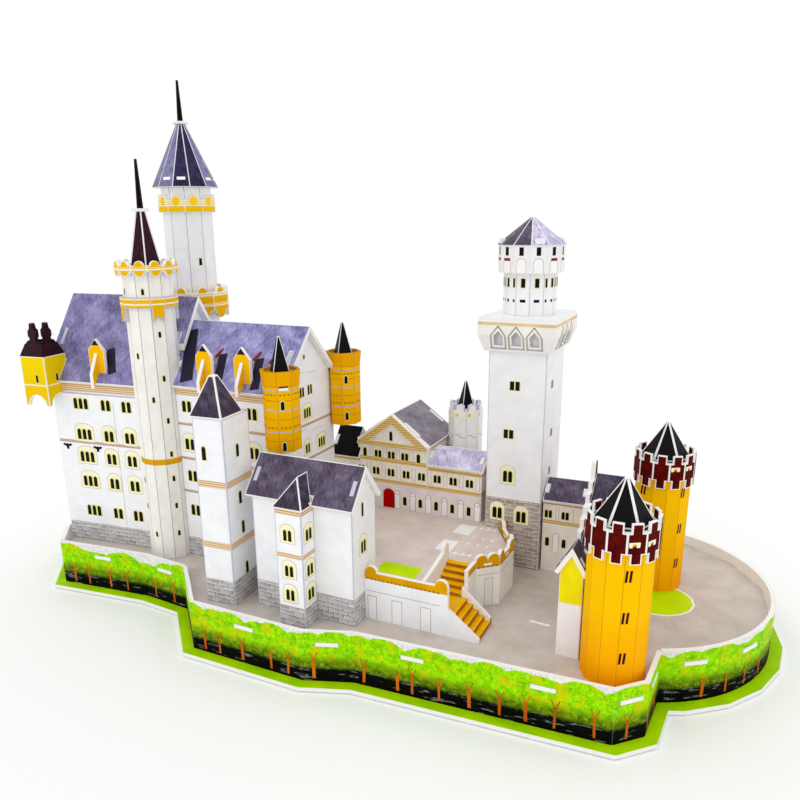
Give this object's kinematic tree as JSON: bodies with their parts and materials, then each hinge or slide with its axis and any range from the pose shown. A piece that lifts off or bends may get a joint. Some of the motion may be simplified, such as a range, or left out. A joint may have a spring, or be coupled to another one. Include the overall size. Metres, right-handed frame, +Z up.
{
  "type": "card castle model",
  "caption": "Tabletop castle folded and slotted from printed foam card: gabled halls, battlemented round and square towers, gatehouse, courtyards and a hedge-printed skirt.",
  "frame": {"origin": "middle of the base plate's bounding box, on its underside where it rests on the table", "axes": "+X runs along the long front skirt from the tall halls towards the gate towers, +Y runs back from the viewer, +Z is up"},
  "size_m": [0.4242, 0.2078, 0.2955],
  "materials": {
    "grass_card": "matt printed foam card, bright green",
    "hedge_card": "matt printed foam card, trees and hedge over dark ground",
    "yard_card": "matt printed foam card, grey-beige paving",
    "plaster_card": "matt printed foam card, white plaster with printed windows",
    "slate_card": "matt printed foam card, purple-grey slate",
    "gold_card": "matt printed foam card, golden yellow masonry",
    "maroon_card": "matt printed foam card, very dark red tile",
    "ochre_card": "matt printed foam card, pale ochre facade",
    "plain_card": "unprinted white foam card"
  },
  "bodies": {
    "root": {"base_plate": "grass_card", "bastion_wall": "plaster_card", "corner_turret": "gold_card", "corner_turret_roof": "maroon_card", "court_wall": "plaster_card", "courtyard_floor": "yard_card", "dormers": "gold_card", "gable_turrets": "gold_card", "gate_collars": "maroon_card", "gate_lodge": "gold_card", "gate_roofs": "maroon_card", "gate_towers": "gold_card", "gatehouse_roof": "slate_card", "gatehouse_walls": "maroon_card", "kemenate_roof": "slate_card", "kemenate_walls": "plaster_card", "knights_hall": "ochre_card", "knights_hall_roof": "slate_card", "knights_pediment": "gold_card", "knights_wing_roofs": "slate_card", "knights_wings": "ochre_card", "link_roof": "slate_card", "link_walls": "ochre_card", "lodge_roof": "slate_card", "lower_stair": "gold_card", "north_balcony": "gold_card", "north_gallery": "gold_card", "north_roof": "slate_card", "north_tower": "plaster_card", "oriel_roof": "slate_card", "oriel_walls": "plaster_card", "palas_east_roof": "slate_card", "palas_east_walls": "plaster_card", "palas_west_roof": "slate_card", "palas_west_walls": "plaster_card", "ribs": "plain_card", "round_tower": "plaster_card", "skirt_forecourt": "hedge_card", "skirt_front_east": "hedge_card", "skirt_front_middle": "hedge_card", "skirt_front_west": "hedge_card", "skirt_rear_east": "hedge_card", "skirt_rear_west": "hedge_card", "spires": "maroon_card", "square_cornice": "plaster_card", "square_crown": "plaster_card", "square_drum": "plaster_card", "square_roof": "slate_card", "square_slab": "plain_card", "square_tower": "plaster_card", "stair_tower": "plaster_card", "stair_tower_battlement": "gold_card", "stair_tower_cone": "maroon_card", "stair_tower_corbel": "gold_card", "terrace_wall": "plaster_card", "turret_spires": "maroon_card", "upper_court": "yard_card", "upper_stair": "gold_card", "white_tower": "plaster_card", "white_tower_roof": "slate_card"}
  },
  "joints": []
}
